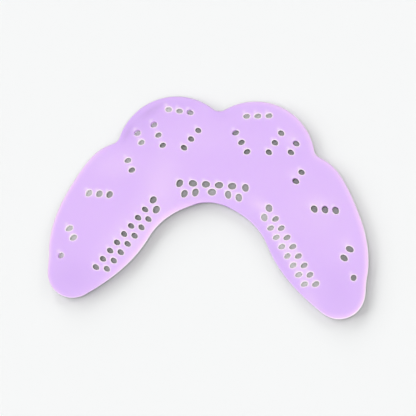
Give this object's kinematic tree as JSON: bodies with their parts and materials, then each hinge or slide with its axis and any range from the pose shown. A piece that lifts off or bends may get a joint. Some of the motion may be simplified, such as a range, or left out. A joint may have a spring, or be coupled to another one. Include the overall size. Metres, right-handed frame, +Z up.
{
  "type": "mouthguard",
  "caption": "Flat arch-shaped mouthguard blank with front lobes, rounded arms and rows of small oval holes, to be softened and moulded over the teeth.",
  "frame": {"origin": "middle of the outline's box, on the underside of the sheet", "axes": "+X across from arm to arm, +Y from the arm tips towards the front lobes, +Z up through the thickness"},
  "size_m": [0.0882, 0.0582, 0.0016],
  "materials": {
    "guard": "satin lilac thermoplastic, slightly translucent at its edges"
  },
  "bodies": {
    "root": {"guard": "guard"}
  },
  "joints": []
}
